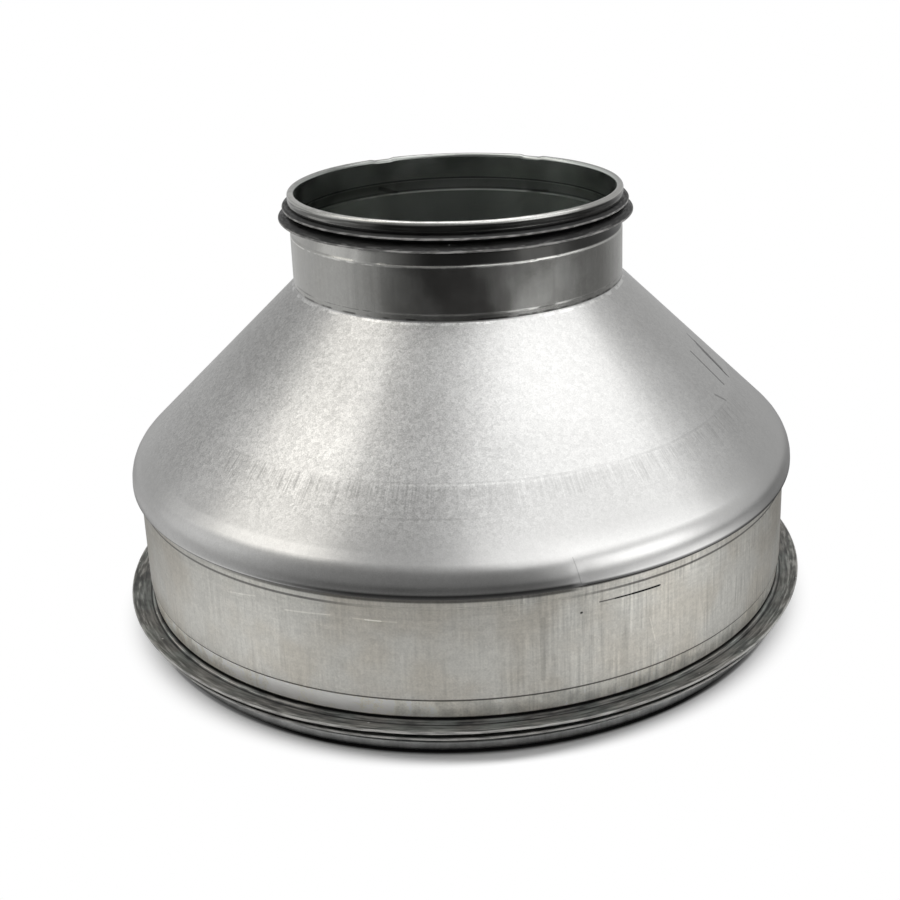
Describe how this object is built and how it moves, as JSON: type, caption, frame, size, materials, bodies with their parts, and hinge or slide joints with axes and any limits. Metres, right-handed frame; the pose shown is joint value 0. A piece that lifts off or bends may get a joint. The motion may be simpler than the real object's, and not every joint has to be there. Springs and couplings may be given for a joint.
{
  "type": "duct reducer",
  "caption": "Concentric round sheet-steel duct reducer with a straight cone, a rounded shoulder and a double-lip rubber seal on each spigot, joining a wide round duct to a narrow one.",
  "frame": {"origin": "centre of the large rim, in the plane it stands on", "axes": "+Z along the duct axis, from the large rim up to the small rim; -Y faces the picture's camera"},
  "size_m": [0.2644, 0.2644, 0.161],
  "materials": {
    "galvanised_sheet": "zinc-coated, finely spangled, satin",
    "seal_rubber": "semi-gloss black"
  },
  "bodies": {
    "root": {"reducer_body": "galvanised_sheet", "small_end_seal": "seal_rubber", "large_end_seal": "seal_rubber"}
  },
  "joints": []
}
